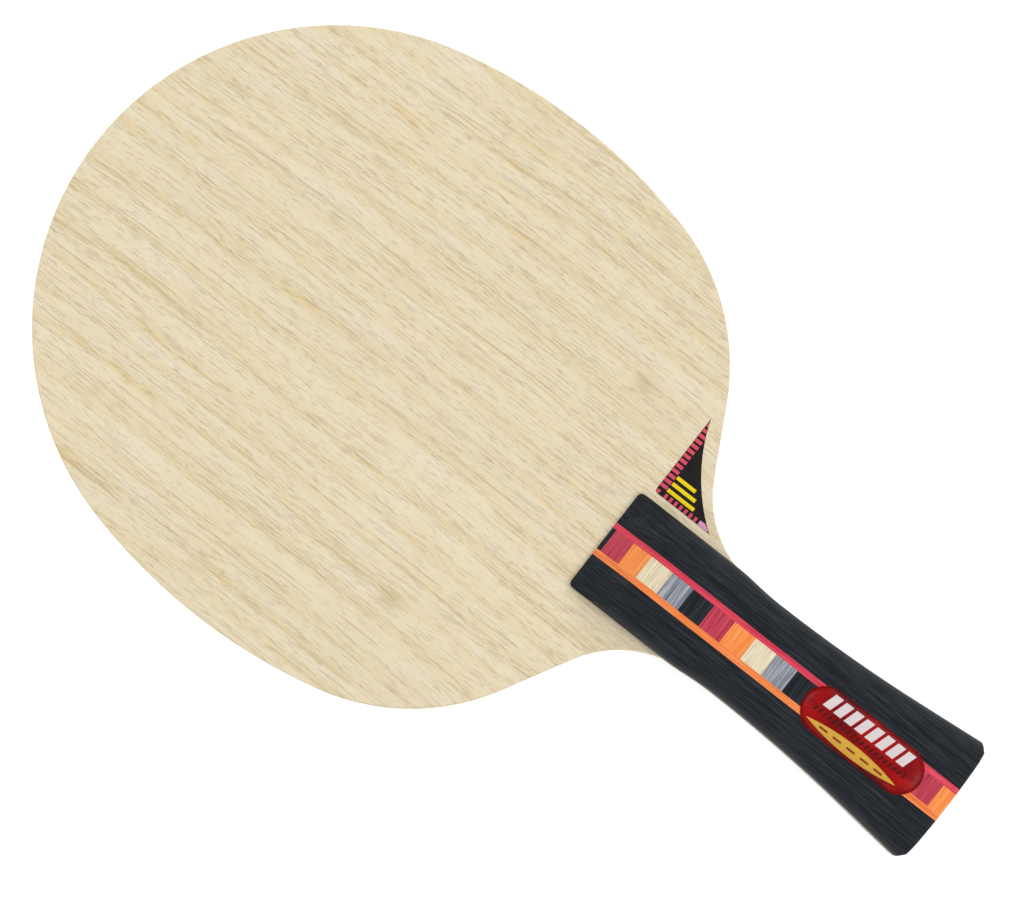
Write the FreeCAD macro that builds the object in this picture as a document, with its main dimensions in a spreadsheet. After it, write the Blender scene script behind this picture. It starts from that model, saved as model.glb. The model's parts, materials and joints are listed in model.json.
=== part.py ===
# A bare table tennis blade with a flared handle, built up the way it is glued together:
# seven plies pressed into the blade, a laminated scale on each side of its tang, a film on
# one shoulder and a domed label near the butt.
#
# X runs across the blade, Y along the handle to the tip of the head, Z out of the front face.
# The origin is below the middle of the paddle, level with the flat of the back scale.

import FreeCAD, Part
import os
from math import acos, asin, atan2, cos, degrees, radians, sin, sqrt, tan

import Sketcher
from FreeCAD import Placement, Rotation, Vector

# (alias, size in millimetres unless it says degrees, what it is)
DIMENSIONS = [
    ("blade_width", 150, "widest, across the head"),
    ("head_length", 154.85, "tip of the head to the front of the handle"),
    ("handle_length", 103.65, "front of the handle to the butt, along the middle"),
    ("crown_radius", 73, "top of the head"),
    ("side_radius", 141.5, "sides of the head"),
    ("shoulder_radius", 55, "where the sides turn in to the handle"),
    ("shoulder_ahead", 45.15, "centre of that turn, ahead of the handle's front"),
    ("wing_angle", 61.5, "degrees between the straight run after it and the handle"),
    ("neck_radius", 27, "hollow curve into the handle"),
    ("neck_end_behind", 36.55, "end of that curve, behind the handle's front"),
    ("neck_inset", 0.75, "the curve ends this far inside the handle's front width"),
    ("face_ply", 0.6, "thickness of each outer veneer"),
    ("carbon_ply", 0.15, "thickness of each carbon cloth"),
    ("inner_ply", 0.85, "thickness of each veneer beside the core"),
    ("core_ply", 2.8, "thickness of the core"),
    ("edge_rounding", 0.4, "sanded edge of the head"),
    ("rubber_gap", 1, "bare strip between the rubber and the handle"),
    ("front_width", 28.3, "handle at its front, where the sides are parallel"),
    ("waist_width", 26.7, "handle at its narrowest"),
    ("waist_behind", 43.25, "the waist, behind the handle's front"),
    ("waist_turn", 72, "radius of both curves that lead in to the waist"),
    ("flare_angle", 5.9, "degrees that each side leans out at the butt"),
    ("butt_width", 34.5, "handle at its widest, where the butt's corners are cut off"),
    ("butt_radius", 230, "very gentle curve of the butt"),
    ("corner_across", 2.1, "cut corners of the butt, across the handle"),
    ("corner_along", 1.5, "cut corners of the butt, along the handle"),
    ("scale_thickness", 8.5, "each side of the blade"),
    ("long_rounding", 6, "long edges of the handle"),
    ("butt_rounding", 1, "rim of the butt"),
    ("nose_height", 0.9, "upright front of each scale, under the bevel"),
    ("nose_rounding", 1.3, "its two corners"),
    ("bevel_run", 12, "length of the bevel along the handle"),
    ("bevel_softening", 0.8, "rounding along the bevel's upper edge"),
    ("chamber_behind", 30, "hollow of each scale, behind the handle's front"),
    ("chamber_length", 60, "its length"),
    ("chamber_width", 12, "its width, which is also the cutter's diameter"),
    ("chamber_depth", 4, "its depth, from the glued side"),
    ("row_width", 6.3, "row of inlaid blocks"),
    ("row_shift", 0.06, "middle of the row, to the right of the handle's middle"),
    ("red_strip", 1.5, "width"),
    ("orange_strip", 1.65, "width"),
    ("first_block", 1.1, "the sliver of a block at the front"),
    ("bevel_pitch", 5.15, "blocks on the bevel"),
    ("block_pitch", 6.31, "all the other blocks"),
    ("film_thickness", 0.1, "printed film on the shoulder"),
    ("film_behind", 2.55, "its front edge, behind the handle's front"),
    ("film_inner", 16.3, "its inner edge, from the middle"),
    ("film_width", 21.9, "across the blade"),
    ("film_length", 16.65, "along the handle"),
    ("film_hollow_radius", 46, "its curved side"),
    ("film_corner", 1, "rounding of its square corner"),
    ("label_behind", 77.85, "middle of the label, behind the handle's front"),
    ("label_shift", 0.34, "middle of the label, to the left"),
    ("label_length", 34.5, "along the handle"),
    ("label_width", 11.9, "across, with round ends"),
    ("label_base", 0.2, "thickness of the printed base"),
    ("dome_height", 1.3, "resin over the base"),
    ("dome_inset", 0.15, "the resin stops this far inside the base's edge"),
    ("dome_rounding", 1.1, "rim of the resin"),
    ("cut_margin", 5, "how far the dividing boxes reach past the wood"),
]

TIP = "(dims.head_length + dims.handle_length) / 2"
FRONT = "(dims.handle_length - dims.head_length) / 2"
HALF_BLADE = "(dims.face_ply + dims.carbon_ply + dims.inner_ply + dims.core_ply / 2)"
MIDDLE_HEIGHT = f"dims.scale_thickness + {HALF_BLADE}"
ROW_LEFT = "dims.row_shift - dims.row_width / 2"
ROW_RIGHT = "dims.row_shift + dims.row_width / 2"

BLOCK_COLOURS = ["black", "red", "orange", "cream", "grey"]
BLOCKS = 18
BEVEL_BLOCKS = 2

START, END, CENTRE = 1, 2, 3  # how a sketch names the points of an edge
ORIGIN = (-1, 1)
VERTICAL_AXIS = -2
CLOSE = 1e-4


def make_sheet():
    """The driving dimensions, one to a row: name, size and meaning."""
    sheet = doc.addObject("Spreadsheet::Sheet", "dims")
    for row, (alias, size, meaning) in enumerate(DIMENSIONS, start=1):
        sheet.set(f"A{row}", alias.replace("_", " "))
        sheet.set(f"B{row}", str(size))
        sheet.setAlias(f"B{row}", alias)
        sheet.set(f"C{row}", meaning)
    doc.recompute()
    return sheet


def value(expression):
    """What an expression of the sheet's dimensions comes to now."""
    return float(sheet.evalExpression(expression.replace("dims.", "")))


def bind(item, **expressions):
    """Binds properties; base_x, base_y and base_z stand for the placement."""
    for name, expression in expressions.items():
        path = f".Placement.Base.{name[-1]}" if name.startswith("base_") else name
        item.setExpression(path, expression)


# ---- sketches and bodies ----------------------------------------------------------------


def new_body(name):
    body = doc.addObject("PartDesign::Body", name)
    body.Label = name
    return body


def plane(body, role):
    return next(item for item in body.Origin.OriginFeatures if item.Role == role)


def new_sketch(body, name, role="XY_Plane"):
    sketch = body.newObject("Sketcher::SketchObject", name)
    sketch.AttachmentSupport = (plane(body, role), [""])
    sketch.MapMode = "FlatFace"
    return sketch


def line(sketch, start, end):
    return sketch.addGeometry(Part.LineSegment(Vector(*start, 0), Vector(*end, 0)))


def arc(sketch, centre, radius, start_angle, end_angle):
    """An arc that turns anticlockwise between two angles in degrees."""
    circle = Part.Circle(Vector(*centre, 0), Vector(0, 0, 1), radius)
    return sketch.addGeometry(Part.ArcOfCircle(circle, radians(start_angle), radians(end_angle)))


def hold(sketch, *constraints):
    for kind, *where in constraints:
        sketch.addConstraint(Sketcher.Constraint(kind, *where))


def size(sketch, name, kind, where, expression):
    """A named dimension of a sketch, bound to the sheet."""
    amount = value(expression)
    if kind == "Angle":
        amount, expression = radians(amount), f"({expression}) * 1 deg"
    index = sketch.addConstraint(Sketcher.Constraint(kind, *where, amount))
    sketch.renameConstraint(index, name)
    sketch.setExpression(f"Constraints.{name}", expression)


def pad(body, sketch, length, symmetric=False):
    item = body.newObject("PartDesign::Pad", sketch.Name + "_pad")
    item.Profile = sketch
    item.SideType = "Symmetric" if symmetric else "One side"
    bind(item, Length=length)
    body.Tip = item
    doc.recompute()
    return item


def pocket(body, sketch, name, depth=None, reverse=False):
    """Cuts to a depth, or through everything on both sides; it has to remove something."""
    before = body.Shape.Volume
    item = body.newObject("PartDesign::Pocket", name)
    item.Profile = sketch
    if depth is None:
        item.SideType = "Symmetric"
        item.Type = "ThroughAll"
    else:
        item.Reversed = reverse
        bind(item, Length=depth)
    body.Tip = item
    doc.recompute()
    if body.Shape.Volume > before - 1:
        raise RuntimeError(f"{name} cuts nothing")
    return item


def mirror(body, feature):
    """The same feature on the other side of the handle's middle."""
    item = body.newObject("PartDesign::Mirrored", feature.Name + "_mirrored")
    item.Originals = [feature]
    item.MirrorPlane = (plane(body, "YZ_Plane"), [""])
    item.Refine = True
    body.Tip = item
    doc.recompute()
    return item


def fillet(body, name, radius, wanted):
    """Rounds the edges for which wanted(box of the edge) is true."""
    base = body.Tip
    edges = [
        f"Edge{number}"
        for number, edge in enumerate(base.Shape.Edges, start=1)
        if wanted(edge.BoundBox)
    ]
    if not edges:
        raise RuntimeError(f"{name} finds no edge")
    item = body.newObject("PartDesign::Fillet", name)
    item.Base = (base, edges)
    bind(item, Radius=radius)
    body.Tip = item
    doc.recompute()
    return item


def at_height(box, height):
    return abs(box.ZMin - height) < CLOSE and abs(box.ZMax - height) < CLOSE


# ---- outlines ---------------------------------------------------------------------------


def draw_head(body):
    """Half of the head: crown, side, shoulder, a short straight run and the hollow neck."""
    sketch = new_sketch(body, "head_outline")
    tip, front = value(TIP), value(FRONT)
    radii = [value(f"dims.{name}_radius") for name in ("crown", "side", "shoulder", "neck")]
    crown_r, side_r, shoulder_r, neck_r = radii
    wing = value("dims.wing_angle")

    crown_y = tip - crown_r
    side_x = value("dims.blade_width") / 2 - side_r
    side_y = crown_y - sqrt((side_r - crown_r) ** 2 - side_x**2)
    shoulder_y = front + value("dims.shoulder_ahead")
    upper = degrees(atan2(crown_y - side_y, -side_x))
    lower = -degrees(asin((side_y - shoulder_y) / (side_r - shoulder_r)))
    shoulder_x = side_x + (side_r - shoulder_r) * cos(radians(lower))
    out = (cos(radians(wing)), -sin(radians(wing)))
    run_top = (shoulder_x + shoulder_r * out[0], shoulder_y + shoulder_r * out[1])
    run_length = shoulder_r / 10
    run_end = (run_top[0] + run_length * out[1], run_top[1] - run_length * out[0])
    neck_centre = (run_end[0] + neck_r * out[0], run_end[1] + neck_r * out[1])
    neck_end = (value("dims.front_width / 2 - dims.neck_inset"), front - value("dims.neck_end_behind"))

    crown = arc(sketch, (0, crown_y), crown_r, upper, 90)
    side = arc(sketch, (side_x, side_y), side_r, lower, upper)
    shoulder = arc(sketch, (shoulder_x, shoulder_y), shoulder_r, -wing, lower)
    run = line(sketch, run_end, run_top)
    neck = arc(sketch, neck_centre, neck_r, 180 - wing, 168)
    across = line(sketch, neck_end, (0, neck_end[1]))
    along = line(sketch, (0, neck_end[1]), (0, tip))

    hold(
        sketch,
        ("PointOnObject", crown, CENTRE, VERTICAL_AXIS),
        ("PointOnObject", crown, END, VERTICAL_AXIS),
        ("Tangent", crown, START, side, END),
        ("Tangent", side, START, shoulder, END),
        ("Tangent", shoulder, START, run, END),
        ("Tangent", neck, START, run, START),
        ("Coincident", neck, END, across, START),
        ("Horizontal", across),
        ("PointOnObject", across, END, VERTICAL_AXIS),
        ("Coincident", across, END, along, START),
        ("Coincident", along, END, crown, END),
    )
    size(sketch, "crown_radius", "Radius", (crown,), "dims.crown_radius")
    size(sketch, "side_radius", "Radius", (side,), "dims.side_radius")
    size(sketch, "shoulder_radius", "Radius", (shoulder,), "dims.shoulder_radius")
    size(sketch, "neck_radius", "Radius", (neck,), "dims.neck_radius")
    size(sketch, "run_slope", "Angle", (run,), "90 - dims.wing_angle")
    size(sketch, "tip_height", "DistanceY", (*ORIGIN, crown, END), TIP)
    size(
        sketch, "side_centre", "DistanceX", (side, CENTRE, *ORIGIN),
        "dims.side_radius - dims.blade_width / 2",
    )
    size(
        sketch, "shoulder_height", "DistanceY", (*ORIGIN, shoulder, CENTRE),
        f"{FRONT} + dims.shoulder_ahead",
    )
    size(
        sketch, "neck_end_across", "DistanceX", (*ORIGIN, neck, END),
        "dims.front_width / 2 - dims.neck_inset",
    )
    size(
        sketch, "neck_end_along", "DistanceY", (neck, END, *ORIGIN),
        f"dims.neck_end_behind - {FRONT}",
    )
    return sketch


def draw_handle(body, name):
    """Half of the handle's plan: parallel sides, an S curve to the waist, a flare and the butt."""
    sketch = new_sketch(body, name)
    front = value(FRONT)
    front_x, waist_x, butt_x = (value(f"dims.{place}_width / 2") for place in ("front", "waist", "butt"))
    waist_y = front - value("dims.waist_behind")
    turn_r = value("dims.waist_turn")
    butt_r = value("dims.butt_radius")
    butt_end = front - value("dims.handle_length")
    butt_centre = butt_end + butt_r
    cut_x = butt_x - value("dims.corner_across")
    cut_y = butt_centre - sqrt(butt_r**2 - cut_x**2)
    corner_y = cut_y + value("dims.corner_along")
    turn = degrees(acos(1 - (front_x - waist_x) / (2 * turn_r)))
    parallel_end = waist_y + 2 * turn_r * sin(radians(turn))
    flare_turn = value("dims.flare_angle")
    lean = tan(radians(flare_turn))
    bend_y = corner_y + (butt_x - waist_x) / lean
    flare_end = (waist_x + (waist_y - bend_y) * lean, 2 * bend_y - waist_y)
    flare_r = (waist_y - bend_y) / tan(radians(flare_turn / 2))

    nose = line(sketch, (0, front), (front_x, front))
    side = line(sketch, (front_x, front), (front_x, parallel_end))
    turn_in = arc(sketch, (front_x - turn_r, parallel_end), turn_r, -turn, 0)
    turn_out = arc(sketch, (waist_x + turn_r, waist_y), turn_r, 180 - turn, 180)
    flare = arc(sketch, (waist_x + flare_r, waist_y), flare_r, 180, 180 + flare_turn)
    splay = line(sketch, (butt_x, corner_y), flare_end)
    corner = line(sketch, (cut_x, cut_y), (butt_x, corner_y))
    butt = arc(sketch, (0, butt_centre), butt_r, 270, 270 + degrees(asin(cut_x / butt_r)))
    along = line(sketch, (0, butt_end), (0, front))

    hold(
        sketch,
        ("PointOnObject", nose, START, VERTICAL_AXIS),
        ("Horizontal", nose),
        ("Coincident", nose, END, side, START),
        ("Vertical", side),
        ("Tangent", side, END, turn_in, END),
        ("Tangent", turn_in, START, turn_out, START),
        ("Horizontal", turn_out, CENTRE, turn_out, END),
        ("Tangent", turn_out, END, flare, START),
        ("Tangent", flare, END, splay, END),
        ("Coincident", splay, START, corner, END),
        ("Coincident", corner, START, butt, END),
        ("PointOnObject", butt, CENTRE, VERTICAL_AXIS),
        ("PointOnObject", butt, START, VERTICAL_AXIS),
        ("Coincident", butt, START, along, START),
        ("Coincident", along, END, nose, START),
    )
    size(sketch, "front_along", "DistanceY", (nose, START, *ORIGIN), f"0 - {FRONT}")
    size(sketch, "front_half", "DistanceX", (nose, START, nose, END), "dims.front_width / 2")
    size(sketch, "waist_half", "DistanceX", (*ORIGIN, turn_out, END), "dims.waist_width / 2")
    size(sketch, "waist_along", "DistanceY", (turn_out, END, side, START), "dims.waist_behind")
    size(sketch, "turn_in_radius", "Radius", (turn_in,), "dims.waist_turn")
    size(sketch, "turn_out_radius", "Radius", (turn_out,), "dims.waist_turn")
    size(sketch, "splay", "Angle", (splay,), "90 + dims.flare_angle")
    size(sketch, "butt_half", "DistanceX", (*ORIGIN, splay, START), "dims.butt_width / 2")
    size(sketch, "corner_across", "DistanceX", (corner, START, corner, END), "dims.corner_across")
    size(sketch, "corner_along", "DistanceY", (corner, START, corner, END), "dims.corner_along")
    size(sketch, "butt_radius", "Radius", (butt,), "dims.butt_radius")
    size(sketch, "length", "DistanceY", (butt, START, nose, START), "dims.handle_length")
    return sketch


def draw_stadium(body, name, length, width, across, along):
    """A slot with round ends that lies along the handle, centred at (across, along)."""
    sketch = new_sketch(body, name)
    radius = value(width) / 2
    half = value(length) / 2 - radius
    x, y = value(across), value(along)

    top = arc(sketch, (x, y + half), radius, 0, 180)
    left = line(sketch, (x - radius, y + half), (x - radius, y - half))
    bottom = arc(sketch, (x, y - half), radius, 180, 360)
    right = line(sketch, (x + radius, y - half), (x + radius, y + half))

    hold(
        sketch,
        ("Tangent", top, END, left, START),
        ("Tangent", left, END, bottom, START),
        ("Tangent", bottom, END, right, START),
        ("Tangent", right, END, top, START),
        ("Vertical", left),
    )
    size(sketch, "end_radius", "Radius", (top,), f"({width}) / 2")
    size(sketch, "straight", "DistanceY", (bottom, CENTRE, top, CENTRE), f"({length}) - ({width})")
    size(sketch, "top_centre_x", "DistanceX", (*ORIGIN, top, CENTRE), across)
    size(
        sketch, "top_centre_y", "DistanceY", (top, CENTRE, *ORIGIN),
        f"0 - ({along}) - (({length}) - ({width})) / 2",
    )
    return sketch


# ---- the blade --------------------------------------------------------------------------


def make_blade_form():
    """The pressed and sanded blade as one block, its middle plane at Z = 0."""
    body = new_body("blade_form")
    thickness = f"2 * {HALF_BLADE}"
    mirror(body, pad(body, draw_head(body), thickness, symmetric=True))
    half = value(HALF_BLADE)
    neck_end = value(f"{FRONT} - dims.neck_end_behind")

    def on_rim(box):
        on_face = at_height(box, half) or at_height(box, -half)
        return on_face and box.YMax > neck_end + CLOSE

    fillet(body, "sanded_edge", "dims.edge_rounding", on_rim)
    mirror(body, pad(body, draw_handle(body, "tang_outline"), thickness, symmetric=True))
    return body


def make_box(name, x, y, z):
    """A box for dividing wood: (lowest, highest) along each axis, as expressions."""
    item = doc.addObject("Part::Box", name)
    item.Label = name
    bind(
        item,
        Length=f"({x[1]}) - ({x[0]})", base_x=x[0],
        Width=f"({y[1]}) - ({y[0]})", base_y=y[0],
        Height=f"({z[1]}) - ({z[0]})", base_z=z[0],
    )
    return item


def common(name, base, tool):
    item = doc.addObject("Part::Common", name)
    item.Label = name
    item.Base = base
    item.Tool = tool
    item.Refine = False
    return item


def make_plies(blade_form):
    """Seven plies cut from the blade's form, from the front face to the back one."""
    across = ("-dims.blade_width / 2 - dims.cut_margin", "dims.blade_width / 2 + dims.cut_margin")
    along = (f"0 - {TIP} - dims.cut_margin", f"{TIP} + dims.cut_margin")
    seam = f"{FRONT} + dims.rubber_gap"
    core = "dims.core_ply / 2"
    inner = f"{core} + dims.inner_ply"
    carbon = f"{inner} + dims.carbon_ply"
    face = f"{carbon} + dims.face_ply"

    plies = [common("core_ply", blade_form, make_box("core_slab", across, along, (f"0 - {core}", core)))]
    for side, sign in (("front", 1), ("back", -1)):
        for layer, near, far in (("inner", core, inner), ("carbon", inner, carbon)):
            heights = (near, far) if sign > 0 else (f"0 - ({far})", f"0 - ({near})")
            slab = make_box(f"{side}_{layer}_slab", across, along, heights)
            plies.append(common(f"{side}_{layer}_ply", blade_form, slab))
        # the face ply keeps a division where the rubber ends
        heights = (carbon, face) if sign > 0 else (f"0 - ({face})", f"0 - ({carbon})")
        head = make_box(f"{side}_head_slab", across, (seam, along[1]), heights)
        tang = make_box(f"{side}_tang_slab", across, (along[0], seam), heights)
        ply = doc.addObject("Part::Fuse", f"{side}_face_ply")
        ply.Label = ply.Name
        ply.Base = common(f"{side}_face_under_rubber", blade_form, head)
        ply.Tool = common(f"{side}_face_at_handle", blade_form, tang)
        ply.Refine = False
        plies.append(ply)
    for ply in plies:
        bind(ply, base_z=MIDDLE_HEIGHT)
    return plies


# ---- the handle -------------------------------------------------------------------------


def draw_bevel(body):
    """The wedge cut off the front of a scale, seen from its side."""
    sketch = new_sketch(body, "bevel_wedge", "YZ_Plane")
    front, nose = value(FRONT), value("dims.nose_height")
    run, top = value("dims.bevel_run"), value("dims.scale_thickness")

    slope = line(sketch, (front, nose), (front - run, top))
    roof = line(sketch, (front - run, top), (front, top))
    wall = line(sketch, (front, top), (front, nose))

    hold(
        sketch,
        ("Coincident", slope, END, roof, START),
        ("Coincident", roof, END, wall, START),
        ("Coincident", wall, END, slope, START),
        ("Horizontal", roof),
        ("Vertical", wall),
    )
    size(sketch, "front_along", "DistanceX", (wall, END, *ORIGIN), f"0 - {FRONT}")
    size(sketch, "nose_height", "DistanceY", (*ORIGIN, slope, START), "dims.nose_height")
    size(sketch, "bevel_run", "DistanceX", (roof, START, roof, END), "dims.bevel_run")
    size(sketch, "scale_top", "DistanceY", (*ORIGIN, roof, END), "dims.scale_thickness")
    return sketch


def make_scale_form():
    """One scale as a block, its glued side on Z = 0."""
    body = new_body("scale_form")
    mirror(body, pad(body, draw_handle(body, "scale_outline"), "dims.scale_thickness"))
    top = value("dims.scale_thickness")
    front = value(FRONT)

    def is_long_edge(box):
        return at_height(box, top) and box.YLength > box.XLength

    def is_butt_rim(box):
        at_butt = box.YMax < front - value("dims.waist_behind")
        across_top = at_height(box, top) and box.XLength > box.YLength
        over_corner = box.ZMax > box.ZMin + CLOSE and box.YLength > CLOSE and box.XLength > CLOSE
        return at_butt and (across_top or (over_corner and box.XLength < value("dims.butt_width / 2")))

    def is_nose_corner(box):
        upright = box.XLength < CLOSE and box.YLength < CLOSE
        return upright and abs(box.YMax - front) < CLOSE

    def is_bevel_top(box):
        bevel_end = front - value("dims.bevel_run")
        return at_height(box, top) and box.YLength < CLOSE and abs(box.YMax - bevel_end) < CLOSE

    fillet(body, "long_edges", "dims.long_rounding", is_long_edge)
    pocket(body, draw_bevel(body), "bevel")
    fillet(body, "butt_rim", "dims.butt_rounding", is_butt_rim)
    fillet(body, "nose_corners", "dims.nose_rounding", is_nose_corner)
    fillet(body, "bevel_edge", "dims.bevel_softening", is_bevel_top)
    chamber = draw_stadium(
        body, "chamber_outline", "dims.chamber_length", "dims.chamber_width",
        "0", f"{FRONT} - dims.chamber_behind - dims.chamber_length / 2",
    )
    pocket(body, chamber, "chamber", depth="dims.chamber_depth", reverse=True)
    return body


def behind_front(block):
    """How far behind the handle's front a block starts."""
    if block == 0:
        return "-dims.cut_margin"
    if block == BLOCKS:
        return "dims.handle_length + dims.cut_margin"
    if block <= BEVEL_BLOCKS:
        return f"dims.first_block + {block - 1} * dims.bevel_pitch"
    on_top = block - 1 - BEVEL_BLOCKS
    return f"dims.first_block + {BEVEL_BLOCKS} * dims.bevel_pitch + {on_top} * dims.block_pitch"


def make_scales(scale_form):
    """Both scales: side pieces, strips and blocks, cut from the same form."""
    along = (f"{FRONT} - ({behind_front(BLOCKS)})", f"{FRONT} - ({behind_front(0)})")
    upright = ("-dims.cut_margin", "dims.scale_thickness + dims.cut_margin")
    left_end, right_end = "0 - dims.butt_width", "dims.butt_width"
    orange_left = f"{ROW_LEFT} - dims.orange_strip"
    red_right = f"{ROW_RIGHT} + dims.red_strip"

    cutters = {
        "left_side": make_box("left_side_cutter", (left_end, orange_left), along, upright),
        "orange_strip": make_box("orange_strip_cutter", (orange_left, ROW_LEFT), along, upright),
        "red_strip": make_box("red_strip_cutter", (ROW_RIGHT, red_right), along, upright),
        "right_side": make_box("right_side_cutter", (red_right, right_end), along, upright),
    }
    for block in range(BLOCKS):
        name = f"block_{block + 1:02d}_{BLOCK_COLOURS[block % len(BLOCK_COLOURS)]}"
        reach = (f"{FRONT} - ({behind_front(block + 1)})", f"{FRONT} - ({behind_front(block)})")
        cutters[name] = make_box(f"{name}_cutter", (ROW_LEFT, ROW_RIGHT), reach, upright)

    pieces = []
    for side, sign in (("front", "+"), ("back", "-")):
        for name, cutter in cutters.items():
            piece = common(f"{side}_{name}", scale_form, cutter)
            if side == "back":
                piece.Placement = Placement(Vector(), Rotation(Vector(0, 1, 0), 180))
            bind(piece, base_z=f"{MIDDLE_HEIGHT} {sign} {HALF_BLADE}")
            pieces.append(piece)
    return pieces


# ---- film and label ---------------------------------------------------------------------


def make_film():
    """Printed film on the right shoulder, its curved side along the neck."""
    body = new_body("shoulder_film")
    sketch = new_sketch(body, "film_outline")
    inner, width, length = (value(f"dims.film_{name}") for name in ("inner", "width", "length"))
    radius = value("dims.film_hollow_radius")
    top = value(f"{FRONT} - dims.film_behind")
    chord = sqrt(width**2 + length**2)
    reach = sqrt(radius**2 - chord**2 / 4) / chord
    centre = (inner + width / 2 + reach * length, top - length / 2 - reach * width)
    angles = [
        degrees(atan2(y - centre[1], x - centre[0]))
        for x, y in ((inner + width, top), (inner, top - length))
    ]

    edge = line(sketch, (inner, top), (inner + width, top))
    hollow = arc(sketch, centre, radius, *angles)
    back = line(sketch, (inner, top - length), (inner, top))

    hold(
        sketch,
        ("Coincident", edge, END, hollow, START),
        ("Coincident", hollow, END, back, START),
        ("Coincident", back, END, edge, START),
        ("Horizontal", edge),
        ("Vertical", back),
    )
    size(sketch, "inner", "DistanceX", (*ORIGIN, edge, START), "dims.film_inner")
    size(sketch, "top", "DistanceY", (edge, START, *ORIGIN), f"dims.film_behind - {FRONT}")
    size(sketch, "width", "DistanceX", (edge, START, edge, END), "dims.film_width")
    size(sketch, "length", "DistanceY", (back, START, back, END), "dims.film_length")
    size(sketch, "hollow_radius", "Radius", (hollow,), "dims.film_hollow_radius")
    pad(body, sketch, "dims.film_thickness")

    def is_square_corner(box):
        upright = box.XLength < CLOSE and box.YLength < CLOSE
        return upright and abs(box.XMax - inner) < CLOSE and abs(box.YMax - top) < CLOSE

    fillet(body, "square_corner", "dims.film_corner", is_square_corner)
    bind(body, base_z=f"{MIDDLE_HEIGHT} + {HALF_BLADE}")
    return body


def make_label():
    """The printed base of the label and the clear resin over it."""
    middle = f"{FRONT} - dims.label_behind"
    surface = f"{MIDDLE_HEIGHT} + {HALF_BLADE} + dims.scale_thickness"

    base = new_body("label_base")
    outline = draw_stadium(
        base, "base_outline", "dims.label_length", "dims.label_width", "0 - dims.label_shift", middle
    )
    pad(base, outline, "dims.label_base")
    bind(base, base_z=surface)

    dome = new_body("label_dome")
    outline = draw_stadium(
        dome, "dome_outline", "dims.label_length - 2 * dims.dome_inset",
        "dims.label_width - 2 * dims.dome_inset", "0 - dims.label_shift", middle,
    )
    pad(dome, outline, "dims.dome_height")
    height = value("dims.dome_height")
    fillet(dome, "dome_rim", "dims.dome_rounding", lambda box: at_height(box, height))
    bind(dome, base_z=f"{surface} + dims.label_base")
    return [base, dome]


# ---- build, check and write -------------------------------------------------------------


def check(pieces):
    """Stops before anything is written if an object failed or a piece isn't one sound solid."""
    for item in doc.Objects:
        if {"Invalid", "Error"} & set(item.State):
            raise RuntimeError(f"{item.Label} failed: {item.State}")
    for piece in pieces:
        shape = piece.Shape
        if shape.isNull() or not shape.isValid() or len(shape.Solids) != 1:
            raise RuntimeError(f"{piece.Label} isn't one valid solid")


doc = FreeCAD.newDocument("paddle")
sheet = make_sheet()
pieces = make_plies(make_blade_form()) + make_scales(make_scale_form()) + [make_film()] + make_label()
doc.recompute()
check(pieces)

os.makedirs("parts", exist_ok=True)
for piece in pieces:
    piece.Shape.exportStep(f"parts/{piece.Label}.step")
print(f"{len(pieces)} pieces written")
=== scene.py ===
"""The looks of a bare table tennis blade: wood, dyed inlays, a printed film and a domed label.

Everything is in metres, in the frame of the CAD model: X across the blade, Y along the handle
towards the tip of the head, Z out of the front face.
"""

import json
from math import asin, atan2, cos, hypot, pi, radians, sin, sqrt

import bmesh
import bpy
from mathutils import Matrix, Vector


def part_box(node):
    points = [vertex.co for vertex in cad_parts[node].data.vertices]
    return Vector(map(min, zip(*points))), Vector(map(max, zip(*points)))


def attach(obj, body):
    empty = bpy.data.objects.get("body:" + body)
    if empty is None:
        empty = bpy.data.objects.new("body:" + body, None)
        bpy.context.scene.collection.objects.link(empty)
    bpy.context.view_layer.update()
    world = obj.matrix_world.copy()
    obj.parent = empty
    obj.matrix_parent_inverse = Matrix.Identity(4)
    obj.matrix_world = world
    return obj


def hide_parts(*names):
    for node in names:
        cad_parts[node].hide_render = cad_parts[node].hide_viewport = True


MM = 0.001
BODY = "root"


# ---- colours and node trees -------------------------------------------------------------


def srgb(red, green, blue):
    """A colour given as 0 to 255, as Blender wants it."""
    def linear(level):
        level /= 255
        return level / 12.92 if level <= 0.04045 else ((level + 0.055) / 1.055) ** 2.4

    return (linear(red), linear(green), linear(blue), 1.0)


def grey(level):
    """A grey that stands for a number from 0 to 1."""
    return (level, level, level, 1.0)


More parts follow.
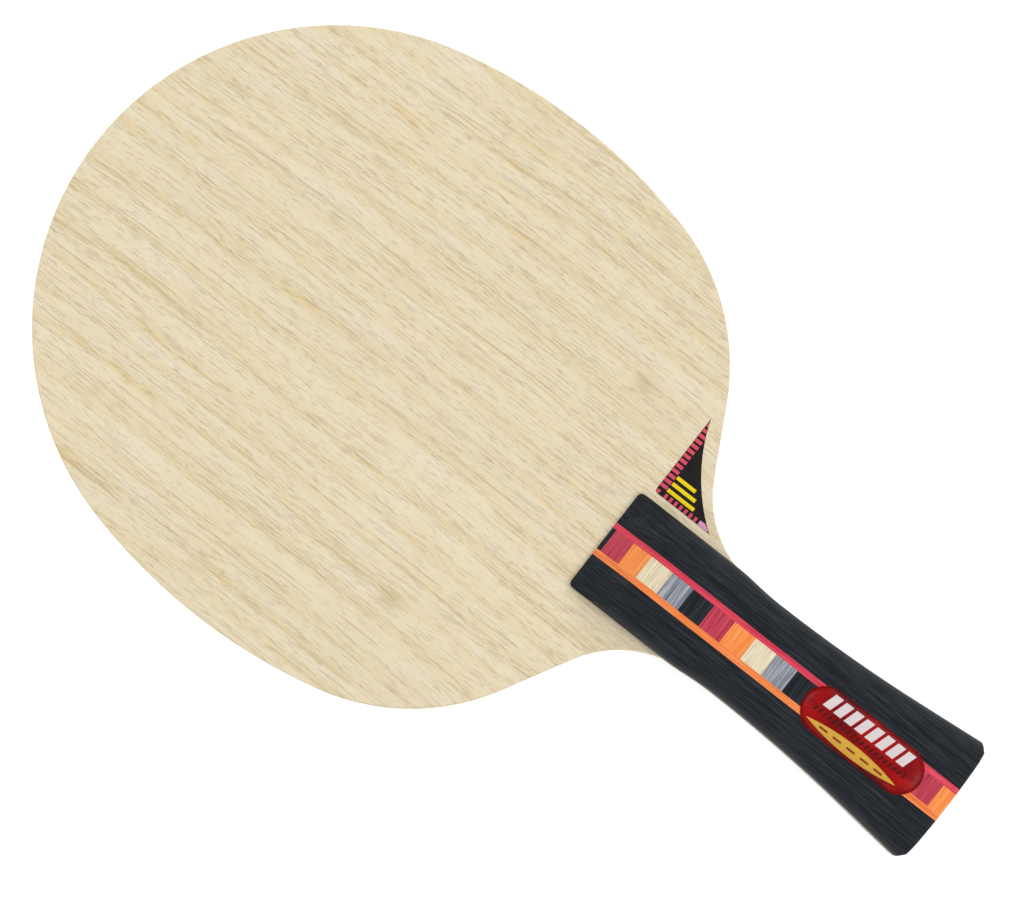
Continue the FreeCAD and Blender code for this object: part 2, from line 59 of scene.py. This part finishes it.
class Finish:
    """A material under construction. Pattern sizes are millimetres on the object."""

    def __init__(self, name, roughness=0.5, specular=0.5):
        self.material = bpy.data.materials.new(name)
        self.material.use_nodes = True
        self.tree = self.material.node_tree
        self.shader = self.tree.nodes["Principled BSDF"]
        self.feed(self.shader, {"Roughness": roughness, "Specular IOR Level": specular})
        coordinates = self.node("TexCoord")
        self.place = coordinates.outputs["Object"]
        self.normal = coordinates.outputs["Normal"]

    def feed(self, node, inputs):
        """Sets or links a node's inputs, which are given by name or by number."""
        for name, value in inputs.items():
            if isinstance(value, bpy.types.NodeSocket):
                self.tree.links.new(value, node.inputs[name])
            else:
                node.inputs[name].default_value = value

    def node(self, kind, inputs=None, **settings):
        """A new shader node with its settings and inputs."""
        item = self.tree.nodes.new("ShaderNode" + kind)
        for name, value in settings.items():
            setattr(item, name, value)
        self.feed(item, inputs or {})
        return item

    def math(self, operation, *values):
        """The result of a Math node; MULTIPLY_ADD is the first times the second plus the third."""
        return self.node("Math", dict(enumerate(values)), operation=operation).outputs[0]

    def vector(self, operation, *values):
        """The result of a Vector Math node that gives a vector or a colour."""
        return self.node("VectorMath", dict(enumerate(values)), operation=operation).outputs[0]

    def noise(self, size, detail=2.0, roughness=0.5, place=None):
        """Soft noise whose lumps are about size = (x, y, z) millimetres."""
        scale = [1 / (length * MM) for length in size]
        stretched = self.node("Mapping", {"Vector": place or self.place, "Scale": scale})
        inputs = {
            "Vector": stretched.outputs["Vector"],
            "Scale": 1.0,
            "Detail": detail,
            "Roughness": roughness,
        }
        return self.node("TexNoise", inputs).outputs["Fac"]

    def remap(self, value, low, high, to_low=0.0, to_high=1.0):
        """Takes low..high to to_low..to_high, with soft ends, and stops there."""
        inputs = {
            "Value": value,
            "From Min": low,
            "From Max": high,
            "To Min": to_low,
            "To Max": to_high,
        }
        return self.node("MapRange", inputs, interpolation_type="SMOOTHSTEP").outputs["Result"]

    def ramp(self, value, *stops):
        """A colour or a grey level for a value between 0 and 1; stops are (position, colour)."""
        item = self.node("ValToRGB", {"Fac": value})
        elements = item.color_ramp.elements
        while len(elements) < len(stops):
            elements.new(0.5)
        for element, (position, colour) in zip(elements, stops):
            element.position = position
            element.color = colour
        return item.outputs["Color"]

    def mix(self, amount, first, second):
        """Goes from the first colour to the second as amount goes from 0 to 1."""
        item = self.node("Mix", data_type="RGBA")
        self.feed(item, {0: amount, 6: first, 7: second})
        return item.outputs[2]

    def colour(self, value):
        self.feed(self.shader, {"Base Color": value})

    def rough(self, value):
        self.feed(self.shader, {"Roughness": value})

    def bump(self, height, depth_mm):
        inputs = {"Height": height, "Distance": depth_mm * MM, "Strength": 1.0}
        self.feed(self.shader, {"Normal": self.node("Bump", inputs).outputs["Normal"]})


# ---- face veneer ------------------------------------------------------------------------

RING_SPACING = 7.5 * MM
RING_SWING = 3.4  # how many rings the pattern strays sideways along the blade

# Pin knots in the front veneer: the x and y of each in millimetres, the radius at which they
# have faded out, and how far their edge strays.
PIN_KNOTS = ((-43.4, 5.7), (35.1, -10.6))
PIN_KNOT_RADIUS = 3.6 * MM
PIN_KNOT_STRAY = 2.4 * MM

# Width and length in millimetres of each kind of pore, and the noise level at which it starts.
PORES = ((0.17, 5.0, 0.835), (0.16, 2.8, 0.84), (0.17, 13.0, 0.84))


def wander(finish):
    """The place, moved sideways in long and in short waves, for grain that isn't straight."""
    long_reach, short_reach = 7.0 * MM, 1.6 * MM
    long_wave = finish.noise((60, 95, 9), detail=1.0)
    short_wave = finish.noise((11, 46, 4), detail=1.0)
    drift = finish.math("MULTIPLY_ADD", long_wave, long_reach, -long_reach / 2)
    drift = finish.math("MULTIPLY_ADD", short_wave, short_reach, drift)
    offset = finish.node("CombineXYZ", {"X": drift}).outputs["Vector"]
    return finish.vector("ADD", finish.place, offset)


def growth_rings(finish, place):
    """1 soon after the start of each ring, falling to 0 before the next."""
    across = finish.node("SeparateXYZ", {0: place}).outputs["X"]
    swing = finish.math("MULTIPLY", finish.noise((34, 150, 9), detail=2.0), RING_SWING)
    phase = finish.math("FRACT", finish.math("MULTIPLY_ADD", across, 1 / RING_SPACING, swing))
    profile = finish.ramp(
        phase,
        (0.0, grey(0.2)),
        (0.12, grey(1.0)),
        (0.3, grey(0.6)),
        (0.55, grey(0.15)),
        (0.85, grey(0.0)),
    )
    broken = finish.remap(finish.noise((2.6, 70, 3.5), detail=3.0), 0.34, 0.6, 0.45, 1.0)
    return finish.math("MULTIPLY", profile, broken)


def pin_knots(finish):
    """1 in the middle of each pin knot, falling to 0 around it and before the back veneer."""
    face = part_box("front_face_ply")[1].z
    ragged = finish.noise((1.6, 3.2, 1.6), detail=3.0)
    near, far = PIN_KNOT_STRAY / 2, PIN_KNOT_RADIUS + PIN_KNOT_STRAY / 2
    total = None
    for x, y in PIN_KNOTS:
        move = {"Vector": finish.place, "Location": (-x * MM, -y * MM, -face)}
        centre = finish.node("Mapping", move).outputs[0]
        lengthened = finish.vector("MULTIPLY", centre, (1.0, 0.75, 1.0))
        measure = finish.node("VectorMath", {0: lengthened}, operation="LENGTH")
        distance = measure.outputs["Value"]
        distance = finish.math("MULTIPLY_ADD", ragged, PIN_KNOT_STRAY, distance)
        knot = finish.remap(distance, near, far, 1.0, 0.0)
        total = knot if total is None else finish.math("MAXIMUM", total, knot)
    return total


def veneer_ground(finish, place, rings, vessels):
    """The veneer's own colour: cream that yellows at each ring, with warm and pale patches."""
    clouds = finish.noise((3.4, 40, 3.4), detail=3.0, roughness=0.6, place=place)
    streaks = finish.noise((0.6, 40, 0.6), detail=3.0, roughness=0.65, place=place)
    lines = finish.remap(vessels, 0.56, 0.7)
    band = finish.math("MULTIPLY", rings, finish.remap(streaks, 0.3, 0.66, 0.4, 1.0))
    tone = finish.math("MULTIPLY_ADD", clouds, 0.08, finish.math("MULTIPLY", band, 0.12))
    tone = finish.math("MULTIPLY_ADD", streaks, 0.1, tone)
    tone = finish.math("MULTIPLY_ADD", lines, 0.05, tone)
    colour = finish.ramp(
        tone,
        (0.06, srgb(243, 228, 198)),
        (0.14, srgb(238, 222, 185)),
        (0.24, srgb(233, 214, 169)),
        (0.37, srgb(221, 199, 141)),
    )

    warm = finish.remap(finish.noise((2.4, 20, 2.4), detail=2.0, place=place), 0.54, 0.7)
    warm = finish.math("MULTIPLY", warm, finish.math("MULTIPLY_ADD", band, 0.5, 0.2))
    colour = finish.mix(warm, colour, srgb(239, 206, 148))

    pale = finish.remap(finish.noise((2.4, 30, 2.4), detail=3.0, place=place), 0.5, 0.7)
    pale = finish.math("MULTIPLY", pale, finish.math("MULTIPLY_ADD", band, -0.7, 0.7))
    return finish.mix(pale, colour, srgb(241, 230, 206))


def veneer_pores(finish, place, rings, vessels):
    """1 in each short pore. They crowd where a ring starts and along the vessel lines."""
    crowd = finish.remap(finish.noise((4, 40, 4), detail=3.0, place=place), 0.36, 0.66, 0.01, 0.03)
    crowd = finish.math("MULTIPLY_ADD", rings, 0.035, crowd)
    crowd = finish.math("MULTIPLY_ADD", vessels, 0.3, crowd)
    pores = None
    for width, length, start in PORES:
        lumps = finish.noise((width, length, width), detail=0.5, place=place)
        lumps = finish.remap(finish.math("ADD", lumps, crowd), start, start + 0.1)
        pores = lumps if pores is None else finish.math("MAXIMUM", pores, lumps)
    return pores


def face_veneer():
    """Pale open-pored veneer, sanded and bare: soft rings, vessel lines, fibres and pores."""
    finish = Finish("face_veneer", roughness=0.6, specular=0.25)
    place = wander(finish)
    rings = growth_rings(finish, place)
    vessels = finish.noise((0.42, 70, 0.42), detail=2.0, place=place)
    colour = veneer_ground(finish, place, rings, vessels)

    fibres = finish.noise((0.3, 20, 0.3), detail=3.0, roughness=0.6, place=place)
    fuzz = finish.noise((0.5, 1.0, 0.5), detail=2.0, roughness=0.6)
    broad = finish.noise((26, 140, 9), detail=2.0)
    shade = finish.math("MULTIPLY_ADD", fibres, 0.16, 0.776)
    shade = finish.math("MULTIPLY_ADD", fuzz, 0.12, shade)
    shade = finish.math("MULTIPLY_ADD", broad, 0.09, shade)
    colour = finish.vector("MULTIPLY", colour, shade)

    pores = veneer_pores(finish, place, rings, vessels)
    colour = finish.mix(finish.math("MULTIPLY", pores, 0.32), colour, srgb(172, 130, 68))
    knots = finish.math("MULTIPLY", pin_knots(finish), 0.4)
    finish.colour(finish.mix(knots, colour, srgb(190, 165, 110)))
    finish.rough(finish.math("MULTIPLY_ADD", fuzz, 0.2, 0.5))
    relief = finish.math("MULTIPLY_ADD", fibres, 0.35, finish.math("MULTIPLY", fuzz, 0.25))
    finish.bump(finish.math("SUBTRACT", relief, pores), 0.05)
    return finish.material


# ---- other woods, carbon, ink and resin -------------------------------------------------

# Woods dyed through, by material slot: the axis along which the grain runs, the dark, middle
# and light colour, and what differs from dyed_wood's usual values.
BLACK_DYES = ((17, 20, 25), (35, 39, 44), (54, 58, 63))
DYED_WOODS = {
    "black_wood": ("y", BLACK_DYES, {"lines": (0.17, 8), "specular": 0.1}),
    "black_wood_across": ("x", BLACK_DYES, {"lines": (0.17, 8), "specular": 0.1}),
    "red_strip_wood": ("y", ((200, 46, 69), (220, 65, 87), (233, 86, 106)), {}),
    "orange_strip_wood": ("y", ((228, 114, 52), (246, 136, 72), (253, 158, 98)), {}),
    "red_wood": ("x", ((156, 40, 58), (192, 60, 80), (212, 84, 102)), {"lines": (0.24, 10)}),
    "orange_wood": (
        "x", ((234, 119, 53), (254, 149, 74), (255, 171, 106)), {"lines": (0.24, 10)},
    ),
    "cream_wood": (
        "x", ((196, 176, 134), (231, 218, 184), (244, 235, 210)),
        {"lines": (0.2, 8), "contrast": 0.9},
    ),
    "grey_wood": (
        "x", ((90, 102, 124), (134, 138, 148), (184, 186, 188)),
        {"lines": (0.22, 10), "contrast": 1.4},
    ),
}

RESIN_ROUGHNESS = 0.32
RESIN_IOR = 1.25  # low, so that the print shows well through the gloss


def lined_grain(finish, along, width, length, detail=3.0, roughness=0.6):
    """Fine lines along "x" or "y", as the cut edges of stacked veneers show on every side.

    Lines along "y" are close together across the surface, whichever way the surface faces.
    """
    depth = 14 * width
    if along == "x":
        return finish.noise((length, width, depth), detail, roughness)
    flat = finish.noise((width, length, depth), detail, roughness)
    upright = finish.noise((depth, length, width), detail, roughness)
    sideways = finish.node("SeparateXYZ", {0: finish.normal}).outputs["X"]
    facing = finish.remap(finish.math("ABSOLUTE", sideways), 0.55, 0.85)
    both = finish.node("Mix", data_type="FLOAT")
    finish.feed(both, {0: facing, 2: flat, 3: upright})
    return both.outputs[0]


def dyed_wood(name, along, dyes, lines=(0.3, 10), contrast=1.0, specular=0.2):
    """Wood dyed through; lines is the (width, length) of its grain in millimetres."""
    finish = Finish(name, roughness=0.5, specular=specular)
    fine = lined_grain(finish, along, *lines)
    broad = lined_grain(finish, along, 4.5 * lines[0], 3 * lines[1], detail=2.0)
    level = finish.math("MULTIPLY_ADD", broad, 0.25, finish.math("MULTIPLY", fine, 0.75))
    spread = 0.13 / contrast
    dark, middle, light = (srgb(*dye) for dye in dyes)
    colour = finish.ramp(level, (0.5 - spread, dark), (0.5, middle), (0.5 + spread, light))
    fuzz = finish.noise((0.35, 0.35, 0.35), detail=2.0)
    shade = finish.math("MULTIPLY_ADD", fuzz, 0.14, 0.93)
    finish.colour(finish.vector("MULTIPLY", colour, shade))
    finish.rough(finish.math("MULTIPLY_ADD", fine, 0.3, 0.38))
    finish.bump(finish.math("MULTIPLY_ADD", fuzz, 0.3, fine), 0.05)
    return finish.material


def edge_wood(name, along, dark, light):
    """The cut edge of an inner ply, whose grain runs along "x" or "y"."""
    finish = Finish(name, roughness=0.7, specular=0.2)
    size = (6, 0.3, 0.3) if along == "x" else (0.3, 6, 0.3)
    grain = finish.noise(size, detail=3.0, roughness=0.6)
    finish.colour(finish.ramp(grain, (0.35, dark), (0.65, light)))
    finish.bump(grain, 0.05)
    return finish.material


def carbon_cloth():
    """Thin woven carbon in 1 mm squares, seen as a dark line along the edge."""
    finish = Finish("carbon_cloth", roughness=0.35, specular=0.4)
    squares = finish.node("Mapping", {"Vector": finish.place, "Scale": (1 / MM,) * 3})
    inputs = {
        "Vector": squares.outputs["Vector"],
        "Scale": 1.0,
        "Color1": srgb(24, 24, 27),
        "Color2": srgb(50, 51, 56),
    }
    finish.colour(finish.node("TexChecker", inputs).outputs["Color"])
    return finish.material


def ink(name, colour):
    """Plain printed ink."""
    finish = Finish(name, roughness=0.35, specular=0.25)
    finish.colour(colour)
    return finish.material


def film_ground():
    """Black print on a thin film, with the faint tooth of the wood under it."""
    finish = Finish("printed_film", roughness=0.4, specular=0.25)
    tooth = finish.noise((0.4, 4, 0.4), detail=3.0)
    finish.colour(finish.ramp(tooth, (0.35, srgb(19, 17, 17)), (0.7, srgb(33, 30, 30))))
    finish.rough(finish.math("MULTIPLY_ADD", tooth, 0.25, 0.28))
    finish.bump(tooth, 0.015)
    return finish.material


def label_ground():
    """Red print with darker clouds."""
    finish = Finish("label_print", roughness=0.5, specular=0.05)
    clouds = finish.noise((5, 9, 5), detail=3.0)
    darker, middle, lighter = srgb(126, 3, 9), srgb(153, 6, 12), srgb(184, 14, 18)
    finish.colour(finish.ramp(clouds, (0.36, darker), (0.5, middle), (0.64, lighter)))
    return finish.material


def clear_resin():
    """Clear poured resin: what lies under it shows through, and the room mirrors in it."""
    finish = Finish("label_resin")
    clear = finish.node("BsdfTransparent").outputs[0]
    gloss = finish.node("BsdfGlossy", {"Roughness": RESIN_ROUGHNESS}).outputs[0]
    mirrored = finish.node("Fresnel", {"IOR": RESIN_IOR}).outputs[0]
    both = finish.node("MixShader", {0: mirrored, 1: clear, 2: gloss})
    finish.tree.nodes.remove(finish.shader)
    finish.feed(finish.tree.nodes["Material Output"], {"Surface": both.outputs[0]})
    return finish.material


def cad_finishes():
    """One finish for each material slot that CAD nodes carry."""
    finishes = {
        "face_veneer": face_veneer(),
        "inner_veneer": edge_wood("inner_veneer", "x", srgb(176, 140, 98), srgb(214, 184, 142)),
        "core_wood": edge_wood("core_wood", "y", srgb(206, 180, 134), srgb(232, 214, 174)),
        "carbon_cloth": carbon_cloth(),
    }
    for name, (along, dyes, options) in DYED_WOODS.items():
        finishes[name] = dyed_wood(name, along, dyes, **options)
    return finishes


def dress_nodes(frame):
    """Gives each CAD node its finish. The black blocks' grain runs across the handle."""
    finishes = cad_finishes()
    for part in frame["record"]["subparts"]:
        node, slot = part["node"], part["material_slot"]
        if slot == "black_wood" and "block" in node:
            slot = "black_wood_across"
        if slot in finishes:
            data = frame["nodes"][node].data
            data.materials.clear()
            data.materials.append(finishes[slot])


# ---- mesh helpers -----------------------------------------------------------------------

INK_THICKNESS = 0.012 * MM


def arc_points(centre, radius, start, end, steps):
    """Points on an arc between two angles, both ends included."""
    angles = [start + (end - start) * step / steps for step in range(steps + 1)]
    return [(centre[0] + radius * cos(angle), centre[1] + radius * sin(angle)) for angle in angles]


def stadium(centre, length, width, steps=32):
    """An outline with round ends that lies along Y, anticlockwise."""
    radius, half = width / 2, (length - width) / 2
    top = arc_points((centre[0], centre[1] + half), radius, 0, pi, steps)
    bottom = arc_points((centre[0], centre[1] - half), radius, pi, 2 * pi, steps)
    return top + bottom


def lens(centre, length, width, steps=24):
    """An outline of two arcs that meet in points, along Y."""
    radius = ((length / 2) ** 2 + (width / 2) ** 2) / width
    turn = asin(length / 2 / radius)
    reach = radius - width / 2
    right = arc_points((centre[0] - reach, centre[1]), radius, -turn, turn, steps)
    left = arc_points((centre[0] + reach, centre[1]), radius, pi - turn, pi + turn, steps)
    return right[:-1] + left[:-1]


def slanted_bar(near, far, top, width, slant):
    """A four-cornered bar across the handle, from x = near to x = far, further back at near."""
    return [(near, top - slant), (near, top - width - slant), (far, top - width), (far, top)]


def add_plate(mesh, outline, bottom, top, material=0):
    """A flat plate with that outline, between two heights."""
    low = [mesh.verts.new((x, y, bottom)) for x, y in outline]
    high = [mesh.verts.new((x, y, top)) for x, y in outline]
    faces = [mesh.faces.new(high), mesh.faces.new(low[::-1])]
    for index, corner in enumerate(low):
        following = (index + 1) % len(low)
        faces.append(mesh.faces.new((corner, low[following], high[following], high[index])))
    for face in faces:
        face.material_index = material


def add_mark(mesh, outline, height, material):
    """A printed mark: a plate of ink that lies on a surface at that height."""
    add_plate(mesh, outline, height, height + INK_THICKNESS, material)


def finish_piece(mesh, name, materials, replaced, smooth=False):
    """Turns a bmesh into an object that stands for a CAD node."""
    bmesh.ops.recalc_face_normals(mesh, faces=mesh.faces[:])
    data = bpy.data.meshes.new(name)
    mesh.to_mesh(data)
    mesh.free()
    for material in materials:
        data.materials.append(material)
    for face in data.polygons:
        face.use_smooth = smooth
    piece = bpy.data.objects.new(name, data)
    bpy.context.scene.collection.objects.link(piece)
    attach(piece, BODY)
    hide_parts(replaced)


# ---- shoulder film ----------------------------------------------------------------------

FILM_HOLLOW_RADIUS = 46 * MM
FILM_CORNER = 1.0 * MM
FILM_MARGIN = 0.08 * MM  # between a mark and the film's edge
FILM_PITCH = 1.5 * MM  # from one dash or tick to the next
FILM_RED, FILM_YELLOW, FILM_PALE = 1, 2, 3  # material numbers; the ground is 0


class HollowSide:
    """The film's curved side, an arc from its corner at the head to its rear corner."""

    def __init__(self, low, high):
        width, length = high.x - low.x, high.y - low.y
        chord = hypot(width, length)
        reach = sqrt(FILM_HOLLOW_RADIUS**2 - chord**2 / 4) / chord
        self.x = low.x + width / 2 + reach * length
        self.y = high.y - length / 2 - reach * width
        start = atan2(high.y - self.y, high.x - self.x)
        end = atan2(low.y - self.y, low.x - self.x)
        self.points = arc_points((self.x, self.y), FILM_HOLLOW_RADIUS, start, end, 40)

    def y_at(self, x):
        return self.y + sqrt(FILM_HOLLOW_RADIUS**2 - (x - self.x) ** 2)

    def x_at(self, y):
        return self.x - sqrt(FILM_HOLLOW_RADIUS**2 - (y - self.y) ** 2)


def add_head_dashes(mesh, low, high, hollow):
    """Red dashes along the side that faces the head, cut off where the curved side crosses."""
    dash, depth = 0.9 * MM, 1.95 * MM
    edge = high.y - FILM_MARGIN
    x, last = low.x + 1.95 * MM, high.x - 0.8 * MM
    while x + dash < last:
        left, right = (
            max(edge - depth, hollow.y_at(side) + FILM_MARGIN) for side in (x, x + dash)
        )
        outline = [(x, left), (x + dash, right), (x + dash, edge), (x, edge)]
        add_mark(mesh, outline, high.z, FILM_RED)
        x += FILM_PITCH


def add_corner_patch(mesh, low, high, corner):
    """A red patch in the rounded corner."""
    inset = FILM_CORNER + FILM_MARGIN + 0.1 * MM
    rim = arc_points(corner, FILM_CORNER - FILM_MARGIN, pi, pi / 2, 8)
    add_mark(mesh, [(low.x + inset, high.y - inset)] + rim, high.z, FILM_RED)


def add_handle_ticks(mesh, low, high, hollow):
    """Red ticks along the side that faces the handle. The last run together and are pale."""
    tick, depth = 0.8 * MM, 1.2 * MM
    edge = low.x + FILM_MARGIN
    y, last, pale_from = high.y - 2.5 * MM, low.y + 1.2 * MM, low.y + 4.2 * MM
    while y - tick > last:
        pale = y - tick < pale_from
        foot = y - (FILM_PITCH if pale else tick)
        upper, lower = (
            min(edge + depth, hollow.x_at(side) - FILM_MARGIN) for side in (y, foot)
        )
        outline = [(edge, y), (edge, foot), (lower, foot), (upper, y)]
        add_mark(mesh, outline, high.z, FILM_PALE if pale else FILM_RED)
        y -= FILM_PITCH


def add_plain_bars(mesh, low, high):
    """Three plain yellow bars, longer towards the handle."""
    bar, pitch = 0.95 * MM, 1.85 * MM
    top = high.y - 2.25 * MM
    for index, length in enumerate((8.0 * MM, 7.0 * MM, 5.6 * MM)):
        x = low.x + 1.75 * MM + index * pitch
        outline = [(x, top), (x, top - length), (x + bar, top - length), (x + bar, top)]
        add_mark(mesh, outline, high.z, FILM_YELLOW)


def make_shoulder_film():
    """Black film with red marks along two sides and three yellow bars."""
    low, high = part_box("shoulder_film")
    hollow = HollowSide(low, high)
    corner = (low.x + FILM_CORNER, high.y - FILM_CORNER)
    outline = hollow.points + arc_points(corner, FILM_CORNER, pi, pi / 2, 10)
    mesh = bmesh.new()
    add_plate(mesh, outline, low.z, high.z)
    add_head_dashes(mesh, low, high, hollow)
    add_corner_patch(mesh, low, high, corner)
    add_handle_ticks(mesh, low, high, hollow)
    add_plain_bars(mesh, low, high)
    materials = [
        film_ground(),
        ink("film_red", srgb(222, 78, 100)),
        ink("film_yellow", srgb(244, 214, 22)),
        ink("film_pale", srgb(226, 158, 196)),
    ]
    finish_piece(mesh, "shoulder_film_print", materials, "shoulder_film")


# ---- label ------------------------------------------------------------------------------

# Material numbers; the ground is 0.
LABEL_WHITE, LABEL_DARK, LABEL_YELLOW, LABEL_BROWN = 1, 2, 3, 4

DOME_RINGS = 30
DOME_END_STEPS = 40  # along each round end
DOME_REACH = 0.96  # the last ring, as a share of the way from the rim to the middle line
DOME_CROWDING = 1.7  # above 1, rings are closer together near the rim
DOME_FULLNESS = 2.6  # above 2, the top is flatter than a circle's
DOME_SINK = 0.05 * MM  # how deep its foot stands in the print


def make_label():
    """Red print with slanted bars, a dark hatched line and a yellow lens with five dashes."""
    low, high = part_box("label_base")
    x, y = (low.x + high.x) / 2, (low.y + high.y) / 2
    mesh = bmesh.new()
    add_plate(mesh, stadium((x, y), high.y - low.y, high.x - low.x), low.z, high.z)

    def add_row(material, count, pitch, bar, near, far, slant, forward=0.0):
        """Equal slanted bars in a row along Y, whose middle lies forward of the label's."""
        start = y + forward + ((count - 1) * pitch + bar + slant) / 2
        for index in range(count):
            outline = slanted_bar(x + near, x + far, start - index * pitch, bar, slant)
            add_mark(mesh, outline, high.z, material)

    add_row(
        LABEL_WHITE, count=8, pitch=3.14 * MM, bar=2.25 * MM,
        near=4.8 * MM, far=0.9 * MM, slant=1.2 * MM,
    )
    add_row(
        LABEL_DARK, count=20, pitch=1.4 * MM, bar=0.5 * MM,
        near=0.1 * MM, far=-1.3 * MM, slant=0.5 * MM, forward=0.3 * MM,
    )

    lens_x, lens_y = x - 3.7 * MM, y + 0.7 * MM
    add_mark(mesh, lens((lens_x, lens_y), 27 * MM, 3.2 * MM), high.z, LABEL_YELLOW)
    dashes, pitch = 5, 4.1 * MM
    for index in range(dashes):
        dash_y = lens_y + ((dashes - 1) / 2 - index) * pitch
        dash = stadium((lens_x, dash_y), 2.6 * MM, 0.55 * MM, 6)
        add_mark(mesh, dash, high.z + INK_THICKNESS, LABEL_BROWN)

    materials = [
        label_ground(),
        ink("label_white", srgb(246, 238, 240)),
        ink("label_dark", srgb(52, 4, 8)),
        ink("label_yellow", srgb(242, 196, 74)),
        ink("label_brown", srgb(168, 66, 34)),
    ]
    finish_piece(mesh, "label_print", materials, "label_base")


def make_dome():
    """Clear resin that stands steeply at its rim and flattens towards the middle."""
    low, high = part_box("label_dome")
    centre = ((low.x + high.x) / 2, (low.y + high.y) / 2)
    length, width = high.y - low.y, high.x - low.x
    foot, rise = low.z - DOME_SINK, high.z - low.z + DOME_SINK
    mesh = bmesh.new()
    loops = []
    for ring in range(DOME_RINGS + 1):
        share = DOME_REACH * (ring / DOME_RINGS) ** DOME_CROWDING
        inset = share * width / 2
        height = foot + rise * sqrt(1 - (1 - share) ** DOME_FULLNESS)
        outline = stadium(centre, length - 2 * inset, width - 2 * inset, DOME_END_STEPS)
        loops.append([mesh.verts.new((x, y, height)) for x, y in outline])
    for outer, inner in zip(loops, loops[1:]):
        for index in range(len(outer)):
            following = (index + 1) % len(outer)
            mesh.faces.new((outer[index], outer[following], inner[following], inner[index]))
    mesh.faces.new(loops[-1])
    mesh.faces.new(loops[0][::-1])
    materials = [clear_resin()]
    finish_piece(mesh, "label_resin_dome", materials, "label_dome", smooth=True)


# ---- camera, light and floor ------------------------------------------------------------

# The camera looks down on the front face, a little from the left of the handle, which runs to
# the lower right of the picture.
VIEW_DISTANCE = 1.1
VIEW_TILT = radians(-2.2)
VIEW_TURN = radians(-51.9)
VIEW_CENTRE_X = 3.12 * MM
VIEW_CENTRE_BEHIND_TIP = 124.15 * MM
LENS_MM = 161
SENSOR_MM = 36

# Round soft lights: where each stands and its power in watts.
LIGHTS = {
    "head_light": ((0.15, 1.3, 1.3), 12.2),
    "butt_light": ((0.15, -1.35, 1.25), 11.8),
    "right_light": ((1.35, -0.2, 1.15), 6.5),
    "left_light": ((-1.35, -0.2, 1.15), 3.5),
}
LIGHT_SIZE = 1.1
SURROUND_STRENGTH = 0.34

FLOOR_HALF = 3.0
FLOOR_DROP = 0.02 * MM  # keeps the floor out of the plane of the back scale's face
FLOOR_GLOW = 0.78  # the floor's own light, which keeps it pale and its shadows weak


def make_camera():
    """A long lens, aimed at the point of the front face that lies in the picture's middle."""
    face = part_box("front_face_ply")[1].z
    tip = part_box("core_ply")[1].y
    data = bpy.data.cameras.new("camera")
    data.lens = LENS_MM
    data.sensor_width = SENSOR_MM
    camera = bpy.data.objects.new("camera", data)
    centre = Vector((VIEW_CENTRE_X, tip - VIEW_CENTRE_BEHIND_TIP, face))
    facing = Matrix.Rotation(VIEW_TILT, 3, "Y")
    camera.location = centre + facing @ Vector((0, 0, VIEW_DISTANCE))
    camera.rotation_euler = (facing @ Matrix.Rotation(VIEW_TURN, 3, "Z")).to_euler()
    bpy.context.scene.collection.objects.link(camera)
    bpy.context.scene.camera = camera


def make_lights():
    """A dim white surround, and soft lights mostly from the head and the butt."""
    world = bpy.data.worlds.new("surround")
    world.use_nodes = True
    background = world.node_tree.nodes["Background"]
    background.inputs["Color"].default_value = (1, 1, 1, 1)
    background.inputs["Strength"].default_value = SURROUND_STRENGTH
    bpy.context.scene.world = world
    bpy.context.scene.view_settings.view_transform = "Standard"
    for name, (place, watts) in LIGHTS.items():
        data = bpy.data.lights.new(name, "AREA")
        data.shape = "DISK"
        data.size = LIGHT_SIZE
        data.energy = watts
        light = bpy.data.objects.new(name, data)
        light.location = place
        light.rotation_euler = (-Vector(place)).to_track_quat("-Z", "Y").to_euler()
        bpy.context.scene.collection.objects.link(light)


def make_floor():
    """A plain pale floor just under the object."""
    half = FLOOR_HALF
    corners = ((-half, -half), (half, -half), (half, half), (-half, half))
    mesh = bmesh.new()
    mesh.faces.new([mesh.verts.new((x, y, -FLOOR_DROP)) for x, y in corners])
    data = bpy.data.meshes.new("floor")
    mesh.to_mesh(data)
    mesh.free()
    floor = bpy.data.objects.new("floor", data)
    finish = Finish("floor_paint", roughness=0.8, specular=0.2)
    paint = {
        "Base Color": (0.5, 0.5, 0.5, 1),
        "Emission Color": (1, 1, 1, 1),
        "Emission Strength": FLOOR_GLOW,
    }
    finish.feed(finish.shader, paint)
    data.materials.append(finish.material)
    bpy.context.scene.collection.objects.link(floor)


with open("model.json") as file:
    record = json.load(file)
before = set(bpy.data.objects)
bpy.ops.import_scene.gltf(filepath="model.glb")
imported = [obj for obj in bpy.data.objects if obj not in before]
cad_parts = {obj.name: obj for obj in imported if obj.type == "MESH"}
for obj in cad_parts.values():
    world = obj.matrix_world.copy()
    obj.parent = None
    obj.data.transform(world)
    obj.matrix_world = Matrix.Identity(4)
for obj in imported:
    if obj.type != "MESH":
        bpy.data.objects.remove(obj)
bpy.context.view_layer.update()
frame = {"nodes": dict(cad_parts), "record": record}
make_camera()
make_lights()
make_floor()
dress_nodes(frame)
make_shoulder_film()
make_label()
make_dome()
